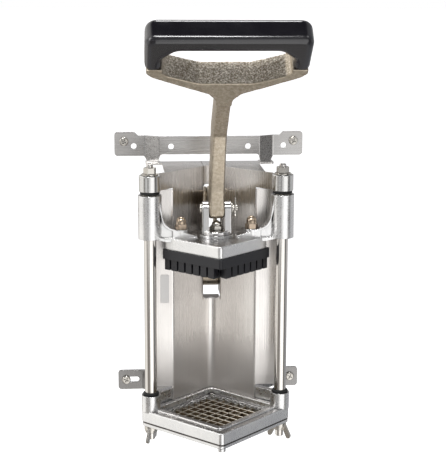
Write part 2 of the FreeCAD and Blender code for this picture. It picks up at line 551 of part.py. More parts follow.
# the tooth at the front corner is left out
cuts.append(turn45(box(-60, -3 * PITCH - 1.0, -60, -3 * PITCH - 1.0, TOOTH_Z - 1, PUSH_Z0 - 0.6)))
pb = pb.cut(cuts)
for sx in (-1, 1):
    pb = pb.cut(cyl(3.02, 213.0, 230, sx * 40.6, 0))
put("pusher_block", pb)
put("pusher_studs", Part.makeCompound([cyl(3.0, 213.5, 257.0, sx * 40.6, 0) for sx in (-1, 1)]))


def acorn(x, z0, af, h_hex, r_dome, z_top, bore, bore_top, turn):
    n = hexagon(af, z0, z0 + h_hex, x, 0, turn)
    n = n.common(Part.makeCone(af * 0.51, af * 0.51 + h_hex * 1.2, h_hex, V(x, 0, z0)))
    n = n.common(Part.makeCone(af * 0.49 + h_hex * 1.8, af * 0.49, h_hex, V(x, 0, z0)))
    dome = cyl(r_dome, z0 + h_hex - 1.0, z_top - r_dome, x).fuse(Part.makeSphere(r_dome, V(x, 0, z_top - r_dome)).common(
        box(x - 20, x + 20, -20, 20, z0 + h_hex - 1.0, z_top + 1)))
    return fuse(n, dome).cut(cyl(bore, z0 - 1, bore_top, x))


put("cap_nuts", Part.makeCompound([acorn(-40.6, 246.05, 13.0, 6.2, 5.9, 261.0, 3.02, 257.2, 20.0),
                                   acorn(40.6, 246.05, 13.0, 6.2, 5.9, 261.0, 3.02, 257.2, 5.0)]))

# --------------------------------------------------------------------- clevis
CZ = CLEVIS_Z
fl = soften(cyl(18.0, CZ, CZ + 4.6), 1.5, flat_at(CZ + 4.6))
ears = []
for sx in (-1, 1):
    e = prism_yz([(-10.5, CZ + 2.0), (10.5, CZ + 2.0), (8.3, PIN_A[1]), (8.3, 278.0), (-8.3, 278.0), (-8.3, PIN_A[1])],
                 min(sx * EAR_IN, sx * EAR_OUT), max(sx * EAR_IN, sx * EAR_OUT), [0, 0, 0, 8.2, 8.2, 0])
    e = soften(e, 1.6, lambda g, s=sx: abs(g.BoundBox.XMin - s * EAR_OUT) < 1e-3 and abs(g.BoundBox.XMax - s * EAR_OUT) < 1e-3
               and g.BoundBox.ZMin > CZ + 2.5)
    ears.append(e)
cl = fuse(fl, *ears)
cl = cl.cut([cylx(PIN_R + 0.02, -30, 30, *PIN_A), cyl(4.05, 230, 260)])
put("clevis", cl)
put("clevis_stud", cyl(4.0, SKIRT_Z0 + 3.6, 249.5))
# dome top stays under the lever's round nose
put("clevis_nut", acorn(0.0, CZ + 4.65, 13.0, 4.6, 5.5, 256.1, 4.02, 250.0, 10.0))
cp = fuse(cylx(PIN_R, -19.4, 24.6, *PIN_A), cylx(5.6, -19.4, -17.2, *PIN_A))
cp = bevel(cp, 0.6, lambda e: e.BoundBox.XLength < 1e-3 and (abs(e.BoundBox.XMin + 19.4) < 1e-3 or abs(e.BoundBox.XMin - 24.6) < 1e-3))
cp = cp.cut(cyl(0.95, 255, 285, 21.2, PIN_A[0]))
put("clevis_pin", cp)
# thin washer between the right ear and the cotter
put("pin_washer", cylx(6.6, EAR_OUT + 0.1, EAR_OUT + 1.3, *PIN_A).cut(cylx(PIN_R + 0.05, 0, 40, *PIN_A)))


def tube(pts, r, bend):
    """Round wire along 3-D points that lie in a plane of constant x."""
    x = pts[0][0]
    flat = [(p[1], p[2]) for p in pts]
    edges = []
    segs = []
    for i in range(len(flat)):
        if i == 0 or i == len(flat) - 1:
            segs.append((flat[i], None, flat[i]))
        else:
            p0, p1, p2 = flat[i - 1], flat[i], flat[i + 1]
            a = (p0[0] - p1[0], p0[1] - p1[1])
            b = (p2[0] - p1[0], p2[1] - p1[1])
            la, lb = math.hypot(*a), math.hypot(*b)
            a = (a[0] / la, a[1] / la)
            b = (b[0] / lb, b[1] / lb)
            ang = math.acos(max(-1, min(1, a[0] * b[0] + a[1] * b[1])))
            t = bend / math.tan(ang / 2)
            c = (a[0] + b[0], a[1] + b[1])
            lc = math.hypot(*c)
            c = (c[0] / lc, c[1] / lc)
            h = bend / math.sin(ang / 2)
            cc = (p1[0] + c[0] * h, p1[1] + c[1] * h)
            segs.append(((p1[0] + a[0] * t, p1[1] + a[1] * t), (cc[0] - c[0] * bend, cc[1] - c[1] * bend),
                         (p1[0] + b[0] * t, p1[1] + b[1] * t)))
    P = lambda q: V(x, q[0], q[1])
    for i in range(len(segs)):
        s, m, e = segs[i]
        if m is not None:
            edges.append(Part.Arc(P(s), P(m), P(e)).toShape())
        if i + 1 < len(segs):
            nxt = segs[i + 1][0]
            if math.hypot(nxt[0] - e[0], nxt[1] - e[1]) > 1e-6:
                edges.append(Part.makeLine(P(e), P(nxt)))
    path = Part.Wire(edges)
    d = (V(x, flat[1][0], flat[1][1]) - V(x, flat[0][0], flat[0][1])).normalize()
    prof = Part.Wire([Part.makeCircle(r, V(x, flat[0][0], flat[0][1]), d)])
    return path.makePipeShell([prof], True, True)


za = PIN_A[1]
clip = tube([(21.2, 0, za - 9.0), (21.2, 0, za + 12.5), (21.2, -6.4, za + 12.5), (21.2, -6.4, za + 6.5),
             (21.2, -5.05, za + 1.5), (21.2, -5.05, za - 2.0), (21.2, -8.0, za - 8.0)], 0.85, 1.6)
put("hairpin_clip", clip)

# ---------------------------------------------------------------------- lever
u = (0.0, LEAN[0], LEAN[1])                 # up along the leaning part
nrm = (0.0, -LEAN[1], LEAN[0])              # its normal, towards the operator and down is minus
n_vec = V(0, 0.6721, 0.7405)                # rear-upward normal of the yoke plane


def yk(x, q, n=0.0):
    """Point in the yoke plane: x across, q measured down the lever from the grip
    reference, n along the plane's rear-upward normal."""
    return V(x, GRIP_C[0] - LEAN[0] * q, GRIP_C[1] - LEAN[1] * q) + n_vec * n


YT = 15.0
half = [(83.2, 22.05), (83.2, 28.5), (77.5, 34.5), (47.0, 49.3), (17.0, 63.2), (8.7, 74.0), (8.7, 84.0)]
inner = [(66.6, 22.05), (66.6, 27.0), (61.5, 32.2), (28.5, 44.6)]
pts = [(-x, q) for x, q in half] + [(x, q) for x, q in reversed(half)] + inner + [(-x, q) for x, q in reversed(inner)]
rr = [0, 4, 6, 0, 10, 12, 0] + [0, 12, 10, 0, 6, 4, 0] + [0, 2.5, 4, 18] + [18, 4, 2.5, 0]
yoke = face_of(pts, rr, lambda a, b: yk(a, b, -YT)).extrude(n_vec * (2 * YT))
# core of the handle, inside the dipped grip
core_out = [(-82.0, 23.0), (-82.0, -22.0), (82.0, -22.0), (82.0, 23.0), (72.0, 23.0), (72.0, -10.0), (-72.0, -10.0), (-72.0, 23.0)]
core = face_of(core_out, [0, 5, 5, 0, 0, 3, 3, 0], lambda a, b: yk(a, b, -11.0)).extrude(n_vec * 22.0)


def station(y, z, ang, d, wf, wb):
    """Lever cross-section: ang is the direction of travel in the y-z plane."""
    ty, tz = math.cos(ang), math.sin(ang)
    ny, nz = tz, -ty                        # rearward normal
    sec = [(-wf, -d), (wf, -d), (wb, -d + 7.5), (wb, d - 3.0), (wb - 1.8, d), (-wb + 1.8, d), (-wb, d - 3.0), (-wb, -d + 7.5)]
    vs = [V(x, y + ny * n, z + nz * n) for x, n in sec]
    return Part.makePolygon(vs + [vs[0]])


a_up = math.atan2(LEAN[1], LEAN[0])
# upright foot over the pin, a middle length leaning 24 degrees, then the long leaning part
c2 = yk(0, 70.0)
st = [station(0.5, 262.0, math.pi / 2, 11.5, 7.6, 8.75),
      station(0.0, 281.0, math.pi / 2, 11.5, 7.4, 8.75),
      station(-0.46, 292.5, math.radians(102.1), 11.8, 7.3, 8.7),
      station(-32.1, 365.1, math.radians(126.0), 13.2, 7.1, 8.7),
      station(c2.y, c2.z, a_up, 14.2, 7.3, 8.7)]
arm = Part.makeLoft(st, True, True)
nose = cylx(11.5, -8.75, 8.75, *PIN_A)
nose = bevel(nose, 1.0, lambda e: e.BoundBox.XLength < 1e-3)
tail1 = prism_yz([(0, PIN_A[1] - 8.6), (34.0, PIN_A[1] - 8.6), (44.0, PIN_A[1] - 7.6), (44.0, PIN_A[1] + 7.6), (34.0, PIN_A[1] + 10.5), (8.0, PIN_A[1] + 20.0), (0, PIN_A[1] + 20.0)],
                 -7.0, 7.0, [0, 3, 0, 0, 3, 6, 0])
tail2 = prism_yz([(30.0, PIN_A[1] - 8.0), (PIN_B[0], PIN_B[1] - 8.2), (PIN_B[0], PIN_B[1] + 8.2), (30.0, PIN_A[1] + 9.0)], -3.8, 3.8)
eye = cylx(10.0, -3.8, 3.8, *PIN_B)
lever = fuse(yoke, core, arm, nose, tail1, tail2, eye)
lever = lever.cut([cylx(PIN_R + 0.05, -20, 20, *PIN_A), cylx(PIN_R + 0.15, -20, 20, *PIN_B)])
put("lever_arm", lever)

GW = 84.8
grip_out = [(-GW, 22.0), (-GW, -26.0), (GW, -26.0), (GW, 22.0), (66.5, 22.0), (66.5, 9.0), (53.5, -4.0), (-53.5, -4.0), (-66.5, 9.0),
            (-66.5, 22.0)]
grip = face_of(grip_out, [0, 12, 12, 0, 0, 9, 12, 12, 9, 0], lambda a, b: yk(a, b, -YT)).extrude(n_vec * (2 * YT))


def on_side(e):
    """Edges that lie in one of the two broad faces of the grip, ends left out."""
    ns = []
    qs = []
    for vtx in e.Vertexes:
        p = vtx.Point - V(0, GRIP_C[0], GRIP_C[1])
        ns.append(p.dot(n_vec))
        qs.append(-(p.y * LEAN[0] + p.z * LEAN[1]))
    flat = max(ns) - min(ns) < 1e-3 and abs(abs(ns[0]) - YT) < 1e-3
    return flat and min(qs) < 21.5


grip = soften(grip, 7.4, on_side)
grip = grip.cut(core)
put("lever_grip", grip)

# ----------------------------------------------------------------------- link
LW0, LW1 = 4.4, 8.2
lk = []
for sx in (-1, 1):
    x0, x1 = min(sx * LW0, sx * LW1), max(sx * LW0, sx * LW1)
    lk.append(prism_yz([(PIN_C[0] - 9.5, PIN_C[1]), (PIN_C[0] + 9.5, PIN_C[1]), (PIN_B[0] + 8.6, PIN_B[1]), (PIN_B[0] - 8.6, PIN_B[1])], x0, x1))
    lk.append(cylx(9.8, x0, x1, *PIN_B))
lk.append(cylx(13.2, -10.2, 10.2, *PIN_C))
lk.append(prism_yz([(PIN_C[0] - 9.4, PIN_C[1]), (PIN_C[0] + 9.4, PIN_C[1]), (PIN_C[0] + 9.1, PIN_C[1] + 34.0), (PIN_C[0] - 9.1, PIN_C[1] + 34.0)],
                   -8.2, 8.2, [0, 0, 4, 4]))
link = fuse(*lk)
link = link.cut([cylx(PIN_R + 0.05, -20, 20, *PIN_C), cylx(PIN_R + 0.01, -20, 20, *PIN_B)])
put("link", link)
stubs = []
for sx in (-1, 1):
    s = fuse(cylx(PIN_R, min(sx * 4.5, sx * 8.4), max(sx * 4.5, sx * 8.4), *PIN_B),
             cylx(6.0, min(sx * 8.25, sx * 9.7), max(sx * 8.25, sx * 9.7), *PIN_B))
    stubs.append(s)
put("link_pin_heads", Part.makeCompound(stubs))

# --------------------------------------------------------------------- export
os.makedirs("parts", exist_ok=True)
SHIFT = V(0, -WALL_Y, -ORIGIN_Z)
for name in sorted(PARTS):
    s = PARTS[name].copy()
    s.translate(SHIFT)
    bad = [i for i, so in enumerate(s.Solids) if not so.isValid()]
    print("%-22s solids %2d  vol %10.1f  %s" % (name, len(s.Solids), s.Volume, "INVALID %s" % bad if bad or not s.isValid() else ""))
    s.exportStep("parts/%s.step" % name)
print(len(PARTS), "nodes")
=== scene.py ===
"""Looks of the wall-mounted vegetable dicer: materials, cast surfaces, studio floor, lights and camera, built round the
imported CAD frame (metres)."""

import bpy
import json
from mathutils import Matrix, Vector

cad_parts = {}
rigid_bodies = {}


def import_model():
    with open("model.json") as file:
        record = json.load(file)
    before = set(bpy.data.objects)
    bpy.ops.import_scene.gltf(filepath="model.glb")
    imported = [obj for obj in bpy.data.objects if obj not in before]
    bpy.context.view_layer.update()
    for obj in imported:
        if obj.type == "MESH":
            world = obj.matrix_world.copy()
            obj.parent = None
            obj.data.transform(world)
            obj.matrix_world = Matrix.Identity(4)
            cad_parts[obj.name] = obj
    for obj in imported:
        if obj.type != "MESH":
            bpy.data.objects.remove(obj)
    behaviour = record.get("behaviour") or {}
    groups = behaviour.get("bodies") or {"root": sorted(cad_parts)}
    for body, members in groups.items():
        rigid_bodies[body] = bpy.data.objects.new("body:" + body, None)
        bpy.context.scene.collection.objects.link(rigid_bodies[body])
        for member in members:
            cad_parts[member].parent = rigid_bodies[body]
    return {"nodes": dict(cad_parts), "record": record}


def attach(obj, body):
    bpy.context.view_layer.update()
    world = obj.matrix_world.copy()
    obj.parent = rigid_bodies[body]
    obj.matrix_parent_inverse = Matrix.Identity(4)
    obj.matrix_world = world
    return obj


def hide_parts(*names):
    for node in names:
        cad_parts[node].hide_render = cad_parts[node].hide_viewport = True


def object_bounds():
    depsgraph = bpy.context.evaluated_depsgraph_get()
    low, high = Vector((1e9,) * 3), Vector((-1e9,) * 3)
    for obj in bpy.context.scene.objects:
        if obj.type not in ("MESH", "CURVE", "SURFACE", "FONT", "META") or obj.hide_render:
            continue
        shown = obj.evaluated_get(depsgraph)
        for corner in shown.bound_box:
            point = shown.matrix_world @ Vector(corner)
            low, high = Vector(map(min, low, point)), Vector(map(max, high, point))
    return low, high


for o in list(bpy.data.objects):
    bpy.data.objects.remove(o, do_unlink=True)
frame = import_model()
bpy.context.view_layer.update()
CAD_BOX = [list(v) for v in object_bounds()]

import json
import math
import random

import bmesh
import numpy as np
from mathutils import Matrix, Vector, noise

NODES = frame["nodes"]
SCENE = bpy.context.scene
COLL = SCENE.collection
SCENE.view_settings.view_transform = "Standard"
SCENE.view_settings.look = "None"


def srgb(r, g, b):
    """8-bit display colour to linear."""
    out = []
    for c in (r, g, b):
        c = c / 255.0
        out.append(c / 12.92 if c <= 0.04045 else ((c + 0.055) / 1.055) ** 2.4)
    return (out[0], out[1], out[2], 1.0)


# ------------------------------------------------------------------ materials
class Mat:
    """Small helper for node materials: every texture is read in the piece's own
    coordinates (metres), so the grain stays put on a moving part."""

    def __init__(self, name, base, metallic, rough, **direct):
        self.m = bpy.data.materials.new(name)
        self.m.use_nodes = True
        self.nt = self.m.node_tree
        self.bsdf = self.nt.nodes["Principled BSDF"]
        self.bsdf.inputs["Base Color"].default_value = base
        self.bsdf.inputs["Metallic"].default_value = metallic
        self.bsdf.inputs["Roughness"].default_value = rough
        for k, v in direct.items():
            self.bsdf.inputs[k.replace("_", " ")].default_value = v
        self.base = base
        self.rough = rough
        self.tc = self.nt.nodes.new("ShaderNodeTexCoord")
        self.col = None
        self.rgh = None
        self.hgt = None
        self.normal = None

    def n(self, kind, **kw):
        node = self.nt.nodes.new(kind)
        for k, v in kw.items():
            setattr(node, k, v)
        return node

    def link(self, a, b):
        self.nt.links.new(a, b)

    def coords(self, scale=(1, 1, 1), rot=(0, 0, 0)):
        mp = self.n("ShaderNodeMapping")
        mp.inputs["Scale"].default_value = scale
        mp.inputs["Rotation"].default_value = rot
        self.link(self.tc.outputs["Object"], mp.inputs["Vector"])
        return mp.outputs["Vector"]

    def noise(self, scale, detail=3.0, rough=0.55, stretch=(1, 1, 1), rot=(0, 0, 0), dist=0.0):
        t = self.n("ShaderNodeTexNoise")
        t.inputs["Scale"].default_value = scale
        t.inputs["Detail"].default_value = detail
        t.inputs["Roughness"].default_value = rough
        t.inputs["Distortion"].default_value = dist
        self.link(self.coords(stretch, rot), t.inputs["Vector"])
        return t.outputs["Fac"]

    def voronoi(self, scale, stretch=(1, 1, 1), feature="F1"):
        t = self.n("ShaderNodeTexVoronoi", feature=feature)
        t.inputs["Scale"].default_value = scale
        self.link(self.coords(stretch), t.inputs["Vector"])
        return t.outputs["Distance"]

    def ramp(self, fac, stops):
        r = self.n("ShaderNodeValToRGB")
        while len(r.color_ramp.elements) < len(stops):
            r.color_ramp.elements.new(0.5)
        for e, (p, c) in zip(r.color_ramp.elements, stops):
            e.position = p
            e.color = c if len(c) == 4 else (c[0], c[0], c[0], 1)
        self.link(fac, r.inputs["Fac"])
        return r.outputs["Color"]

    def span(self, fac, lo, hi, a=0.0, b=1.0, clamp=True):
        m = self.n("ShaderNodeMapRange", clamp=clamp)
        m.inputs["From Min"].default_value = lo
        m.inputs["From Max"].default_value = hi
        m.inputs["To Min"].default_value = a
        m.inputs["To Max"].default_value = b
        self.link(fac, m.inputs["Value"])
        return m.outputs["Result"]

    def math(self, op, a, b=None, clamp=False):
        m = self.n("ShaderNodeMath", operation=op, use_clamp=clamp)
        for i, v in enumerate((a, b)):
            if v is None:
                continue
            if isinstance(v, (int, float)):
                m.inputs[i].default_value = v
            else:
                self.link(v, m.inputs[i])
        return m.outputs[0]

    def mix(self, fac, a, b, blend="MIX"):
        m = self.n("ShaderNodeMix", data_type="RGBA", blend_type=blend)
        for idx, v in ((0, fac), (6, a), (7, b)):
            if isinstance(v, (int, float)):
                m.inputs[idx].default_value = v
            elif isinstance(v, (tuple, list)):
                m.inputs[idx].default_value = v
            else:
                self.link(v, m.inputs[idx])
        return m.outputs[2]

    def add_height(self, h, amount):
        h = self.math("MULTIPLY", h, amount)
        self.hgt = h if self.hgt is None else self.math("ADD", self.hgt, h)

    def xyz(self):
        if not hasattr(self, "_xyz"):
            sp = self.n("ShaderNodeSeparateXYZ")
            self.link(self.tc.outputs["Object"], sp.inputs[0])
            self._xyz = (sp.outputs[0], sp.outputs[1], sp.outputs[2])
        return self._xyz

    def band(self, v, centre, half, soft):
        """1 where |v - centre| is under half, fading out over soft."""
        d = self.math("ABSOLUTE", self.math("SUBTRACT", v, centre))
        return self.span(d, half, half + soft, 1.0, 0.0)

    def crevice_shade(self, c, amount, distance, dark=(0.035, 0.030, 0.026, 1)):
        """Painted shade in tight corners and along joints, found by ambient occlusion."""
        ao = self.n("ShaderNodeAmbientOcclusion", samples=5)
        ao.inputs["Distance"].default_value = distance
        m = self.span(ao.outputs["AO"], 0.25, 0.85, 1.0, 0.0)
        return self.mix(self.math("MULTIPLY", m, amount), c, dark)

    def round_edges(self, radius):
        bv = self.n("ShaderNodeBevel", samples=6)
        bv.inputs["Radius"].default_value = radius
        self.normal = bv.outputs["Normal"]

    def edge_mask(self, radius=0.0012, lo=0.02, hi=0.30):
        """1 along worn outside and inside edges, broken up by noise."""
        bv = self.n("ShaderNodeBevel", samples=6)
        bv.inputs["Radius"].default_value = radius
        g = self.n("ShaderNodeNewGeometry")
        d = self.n("ShaderNodeVectorMath", operation="DOT_PRODUCT")
        self.link(bv.outputs["Normal"], d.inputs[0])
        self.link(g.outputs["Normal"], d.inputs[1])
        e = self.math("SUBTRACT", 1.0, d.outputs["Value"])
        e = self.span(e, lo, hi)
        return self.math("MULTIPLY", e, self.span(self.noise(260.0, 4.0, 0.7), 0.35, 0.62), clamp=True)

    def done(self, bump=1.0, distance=0.001):
        if self.col is not None:
            self.link(self.col, self.bsdf.inputs["Base Color"])
        if self.rgh is not None:
            self.link(self.rgh, self.bsdf.inputs["Roughness"])
        if self.hgt is not None:
            b = self.n("ShaderNodeBump")
            b.inputs["Strength"].default_value = bump
            b.inputs["Distance"].default_value = distance
            self.link(self.hgt, b.inputs["Height"])
            if self.normal is not None:
                self.link(self.normal, b.inputs["Normal"])
            self.link(b.outputs["Normal"], self.bsdf.inputs["Normal"])
        elif self.normal is not None:
            self.link(self.normal, self.bsdf.inputs["Normal"])
        return self.m


def cast_aluminium(name="cast_aluminium_look", base=(0.80, 0.80, 0.795, 1), rough=0.26, grain=0.26, seam=None):
    k = Mat(name, base, 1.0, rough)
    big = k.noise(38.0, 4.0, 0.6)
    mid = k.noise(420.0, 4.0, 0.65)
    fine = k.noise(1900.0, 2.0, 0.6)
    edge = k.edge_mask(0.0011)
    c = k.mix(k.span(big, 0.3, 0.7), (base[0] * 0.93, base[1] * 0.93, base[2] * 0.94, 1),
              (min(1, base[0] * 1.10), min(1, base[1] * 1.10), min(1, base[2] * 1.09), 1))
    pits = k.span(k.noise(700.0, 3.0, 0.6), 0.66, 0.74)
    c = k.mix(k.math("MULTIPLY", pits, 0.10), c, (0.45, 0.44, 0.43, 1))
    c = k.mix(k.math("MULTIPLY", edge, 0.55), c, (0.93, 0.93, 0.92, 1))
    if seam is not None:
        # juice and dust dried into the joint under the casting
        wob = k.span(k.noise(60.0, 3.0, 0.6), 0.3, 0.7, -0.00012, 0.00012)
        line = k.band(k.math("ADD", k.xyz()[2], wob), seam, 0.00065, 0.0006)
        c = k.mix(k.math("MULTIPLY", line, 0.94), c, (0.050, 0.040, 0.030, 1))
    # painted shade: faces that lie level are darkened, mottled by the large noise
    sp = k.n("ShaderNodeSeparateXYZ")
    k.link(k.tc.outputs["Normal"], sp.inputs[0])
    level_face_shade = k.math("MULTIPLY", k.span(sp.outputs[2], 0.55, 0.95), k.span(big, 0.25, 0.65, 0.70, 1.0))
    c = k.mix(k.math("MULTIPLY", level_face_shade, 0.88), c, (0.28, 0.263, 0.257, 1))
    # painted shade: ambient occlusion darkens tight corners and joints
    k.col = k.crevice_shade(c, 0.80, 0.0026)
    r = k.math("ADD", k.span(mid, 0.25, 0.75, rough - 0.07, rough + 0.12), k.span(big, 0.3, 0.7, -0.03, 0.06))
    k.rgh = k.math("SUBTRACT", r, k.math("MULTIPLY", edge, 0.12), clamp=True)
    k.add_height(mid, 0.10 * grain)
    k.add_height(fine, 0.035 * grain)
    k.add_height(big, 0.35 * grain)
    k.round_edges(0.0009)
    return k.done(0.55, 0.0012)


def brushed(name, base, rough, stretch, rot=(0, 0, 0), strength=0.12, tint=0.10, stain=0.10, slot_shade_marks=False):
    """Directional abrasive finish: long fine streaks in colour, roughness and bump."""
    k = Mat(name, base, 1.0, rough)
    lines = k.noise(1.0, 2.0, 0.7, stretch, rot)
    coarse = k.noise(1.0, 3.0, 0.6, tuple(s * 0.22 for s in stretch), rot)
    cloud = k.noise(16.0, 3.0, 0.55)
    edge = k.edge_mask(0.0009)
    lo = tuple(c * (1 - tint) for c in base[:3]) + (1,)
    hi = tuple(min(1, c * (1 + tint)) for c in base[:3]) + (1,)
    c = k.mix(k.span(lines, 0.3, 0.7), lo, hi)
    c = k.mix(k.math("MULTIPLY", k.span(coarse, 0.35, 0.7), 0.35), c, hi)
    c = k.mix(k.math("MULTIPLY", k.span(cloud, 0.4, 0.75), stain), c, (base[0] * 0.75, base[1] * 0.70, base[2] * 0.66, 1))
    c = k.mix(k.math("MULTIPLY", edge, 0.5), c, (0.85, 0.85, 0.84, 1))
    if slot_shade_marks:
        # the cut side faces of the long slot are darkened, and the lip under it gets painted shade
        x, y, z = k.xyz()
        ax = k.math("ABSOLUTE", x)
        behind = k.span(k.math("ADD", ax, y), -0.0382, -0.0378)
        lip_shade = k.math("MULTIPLY", k.math("MULTIPLY", behind, k.band(z, -0.0375, 0.0022, 0.0002)), k.span(ax, 0.0106, 0.0108, 1.0, 0.0))
        cut = k.math("MULTIPLY", k.band(ax, 0.01045, 0.00040, 0.0003), k.span(z, -0.0366, -0.0362))
        m = k.math("MAXIMUM", k.math("MULTIPLY", lip_shade, 0.93), k.math("MULTIPLY", cut, 0.70))
        # painted shadow and dark reflection of the lever on the panel, left of the slot where the link runs
        dark_mottle = k.math("MULTIPLY", k.band(x, -0.0165, 0.0045, 0.0100), k.math("MULTIPLY", k.span(z, 0.028, 0.062), k.span(z, 0.092, 0.108, 1.0, 0.0)))
        dark_mottle = k.math("MULTIPLY", dark_mottle, k.span(k.noise(45.0, 3.0, 0.6), 0.2, 0.6, 0.75, 1.0))
        m = k.math("MAXIMUM", m, k.math("MULTIPLY", dark_mottle, 0.80))
        c = k.mix(m, c, (0.085, 0.055, 0.030, 1))
    k.col = c
    r = k.span(lines, 0.25, 0.75, rough - 0.08, rough + 0.10)
    if slot_shade_marks:
        r = k.math("ADD", r, k.span(k.xyz()[2], -0.070, -0.125, 0.0, 0.20))     # scrubbed dull near the base
    k.rgh = k.math("ADD", r, k.span(cloud, 0.3, 0.7, -0.04, 0.06), clamp=True)
    k.add_height(lines, 0.05)
    k.add_height(coarse, 0.03)
    k.round_edges(0.0005)
    return k.done(strength, 0.0006)


def polished(name, base, rough, spin=None):
    """Ground or turned bright steel with faint rings, smears and tiny nicks."""
    k = Mat(name, base, 1.0, rough)
    smear = k.noise(30.0, 4.0, 0.6, (1.0, 1.0, 0.35))
    rings = k.noise(1.0, 2.0, 0.6, spin or (25.0, 25.0, 2600.0))
    nick = k.span(k.noise(700.0, 5.0, 0.85), 0.68, 0.76)
    edge = k.edge_mask(0.0007)
    c = k.mix(k.span(smear, 0.35, 0.7), base, tuple(x * 0.88 for x in base[:3]) + (1,))
    c = k.mix(k.math("MULTIPLY", nick, 0.3), c, (0.25, 0.24, 0.23, 1))
    c = k.mix(k.math("MULTIPLY", edge, 0.5), c, (0.9, 0.9, 0.89, 1))
    # painted shade: ambient occlusion darkens tight corners and joints
    k.col = k.crevice_shade(c, 0.8, 0.0018)
    r = k.span(smear, 0.3, 0.75, rough * 0.7, rough * 1.6)
    k.rgh = k.math("ADD", r, k.span(rings, 0.3, 0.7, -0.02, 0.04), clamp=True)
    k.add_height(rings, 0.02)
    k.round_edges(0.0004)
    return k.done(0.12, 0.0004)


def bronze(name="cast_bronze_look"):
    """Nickel-bronze as cast in sand: tan, pebbled, dark in the pits, bright where the
    mould edges were dressed and where the eye rubs in its clevis."""
    k = Mat(name, (0.46, 0.40, 0.31, 1), 0.95, 0.38)
    big = k.noise(30.0, 4.0, 0.6)
    mid = k.noise(300.0, 4.0, 0.7)
    fine = k.noise(950.0, 3.0, 0.75)
    edge = k.edge_mask(0.0014, 0.02, 0.25)
    c = k.ramp(mid, [(0.32, (0.33, 0.275, 0.200, 1)), (0.50, (0.47, 0.405, 0.315, 1)), (0.70, (0.64, 0.58, 0.485, 1))])
    c = k.mix(k.math("MULTIPLY", k.span(big, 0.35, 0.7), 0.30), c, (0.53, 0.47, 0.38, 1))
    pits = k.span(fine, 0.33, 0.43, 1.0, 0.0)
    c = k.mix(k.math("MULTIPLY", pits, 0.45), c, (0.13, 0.10, 0.07, 1))
    # faces that point up, the inside of the yoke, keep a coarse sand skin with black pits; its near-white grains are
    # painted glints
    sp = k.n("ShaderNodeSeparateXYZ")
    k.link(k.tc.outputs["Normal"], sp.inputs[0])
    up_skin_and_glint = k.span(sp.outputs[2], 0.35, 0.62)
    sand = k.noise(560.0, 3.0, 0.62)
    c = k.mix(k.math("MULTIPLY", up_skin_and_glint, k.span(sand, 0.52, 0.60, 0.0, 0.85)), c, (0.98, 0.92, 0.83, 1))
    c = k.mix(k.math("MULTIPLY", up_skin_and_glint, k.span(sand, 0.38, 0.46, 0.62, 0.0)), c, (0.13, 0.10, 0.070, 1))
    c = k.mix(k.math("MULTIPLY", edge, 0.8), c, (0.88, 0.83, 0.73, 1))
    # painted shade: ambient occlusion darkens tight corners and joints dark brown
    k.col = k.crevice_shade(c, 0.7, 0.0020, (0.045, 0.032, 0.020, 1))
    r = k.span(mid, 0.25, 0.75, 0.30, 0.48)
    k.rgh = k.math("SUBTRACT", r, k.math("MULTIPLY", edge, 0.12), clamp=True)
    k.add_height(mid, 0.34)
    k.add_height(fine, 0.22)
    k.add_height(big, 0.25)
    k.round_edges(0.0008)
    return k.done(0.7, 0.0008)


def plastic(name, base, rough, grain_scale, grain, spec=0.5, coat=0.0, coat_rough=0.05, scuff=0.5):
    k = Mat(name, base, 0.0, rough, Specular_IOR_Level=spec, Coat_Weight=coat, Coat_Roughness=coat_rough)
    mid = k.noise(grain_scale, 3.0, 0.6)
    big = k.noise(26.0, 4.0, 0.6)
    scratch = k.span(k.noise(1.0, 4.0, 0.75, (90.0, 700.0, 120.0), (0.4, 0.3, 0.9)), 0.60, 0.68)
    edge = k.edge_mask(0.0012)
    hi = tuple(min(1, c * 1.9 + 0.01) for c in base[:3]) + (1,)
    c = k.mix(k.math("MULTIPLY", k.span(big, 0.35, 0.7), 0.5), base, tuple(c * 1.35 for c in base[:3]) + (1,))
    c = k.mix(k.math("MULTIPLY", scratch, 0.35 * scuff), c, hi)
    k.col = k.mix(k.math("MULTIPLY", edge, 0.6 * scuff), c, hi)
    r = k.span(mid, 0.3, 0.7, rough - 0.03, rough + 0.06)
    r = k.math("ADD", r, k.math("MULTIPLY", scratch, 0.18 * scuff))
    k.rgh = k.math("ADD", r, k.span(big, 0.3, 0.7, -0.02, 0.04), clamp=True)
    k.add_height(mid, grain)
    k.round_edges(0.0006)
    return k.done(0.35, 0.0006)


def blades():
    """Thin ground steel: dark brown sides, near-white faces that point up and along the top edge height."""
    k = Mat("blade_steel_look", (0.30, 0.25, 0.19, 1), 0.9, 0.34)
    g = k.n("ShaderNodeSeparateXYZ")
    k.link(k.tc.outputs["Normal"], g.inputs[0])
    up = k.math("MAXIMUM", k.span(g.outputs[2], 0.6, 0.9), k.span(k.xyz()[2], (22.25 - 181.5) / 1000.0, (22.65 - 181.5) / 1000.0))
    dark_mottle = k.noise(120.0, 3.0, 0.6)
    c = k.mix(k.span(dark_mottle, 0.35, 0.65), (0.135, 0.102, 0.066, 1), (0.30, 0.24, 0.165, 1))
    k.col = k.mix(up, c, (0.92, 0.88, 0.79, 1))
    k.rgh = k.span(k.noise(1.0, 2.0, 0.6, (900.0, 900.0, 40.0)), 0.3, 0.7, 0.28, 0.42)
    k.add_height(dark_mottle, 0.05)
    return k.done(0.1, 0.0004)


